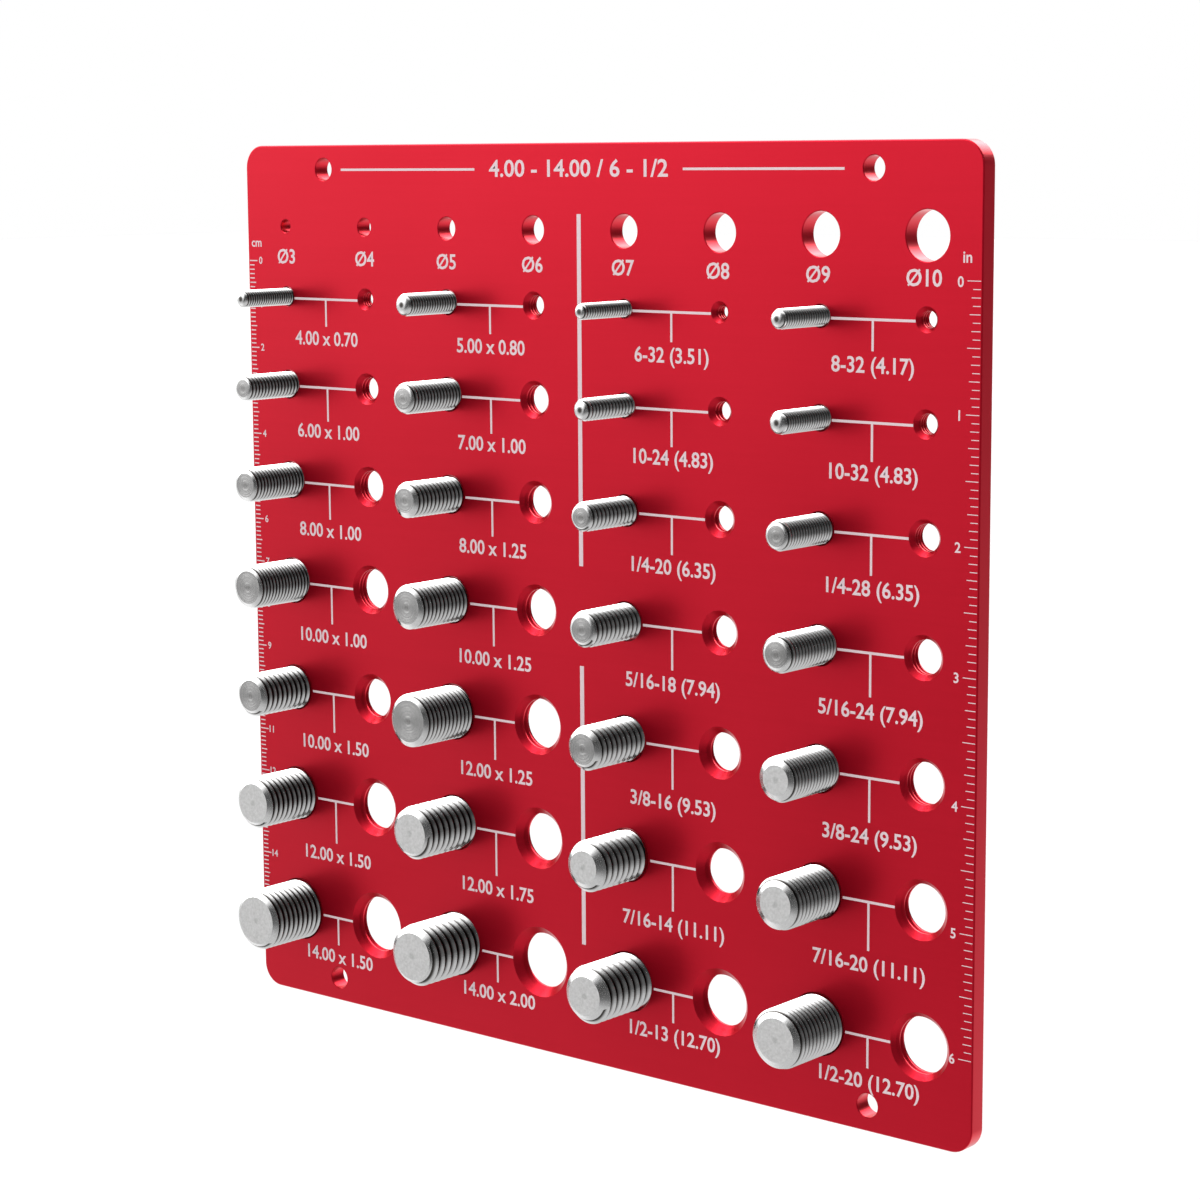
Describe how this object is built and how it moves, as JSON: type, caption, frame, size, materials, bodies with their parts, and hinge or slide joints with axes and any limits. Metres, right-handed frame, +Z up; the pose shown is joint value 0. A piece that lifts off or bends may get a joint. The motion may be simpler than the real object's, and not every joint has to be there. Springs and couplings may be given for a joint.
{
  "type": "thread checker",
  "caption": "Flat wall plate with threaded steel studs, tapped holes and plain gauge holes for telling the thread and diameter of nuts, bolts and pins.",
  "frame": {"origin": "middle of the plate's flat back face", "axes": "+X to the right, +Y out of the back towards the wall, +Z up"},
  "size_m": [0.2, 0.0185, 0.1984],
  "materials": {
    "plate": "satin red anodised, white marks on the front face",
    "stud": "turned and bare, bright"
  },
  "bodies": {
    "root": {"plate": "plate", "stud_m4x0_7": "stud", "stud_m6x1_0": "stud", "stud_m8x1_0": "stud", "stud_m10x1_0": "stud", "stud_m10x1_5": "stud", "stud_m12x1_5": "stud", "stud_m14x1_5": "stud", "stud_m5x0_8": "stud", "stud_m7x1_0": "stud", "stud_m8x1_25": "stud", "stud_m10x1_25": "stud", "stud_m12x1_25": "stud", "stud_m12x1_75": "stud", "stud_m14x2_0": "stud", "stud_6_32": "stud", "stud_10_24": "stud", "stud_1_4_20": "stud", "stud_5_16_18": "stud", "stud_3_8_16": "stud", "stud_7_16_14": "stud", "stud_1_2_13": "stud", "stud_8_32": "stud", "stud_10_32": "stud", "stud_1_4_28": "stud", "stud_5_16_24": "stud", "stud_3_8_24": "stud", "stud_7_16_20": "stud", "stud_1_2_20": "stud"}
  },
  "joints": []
}
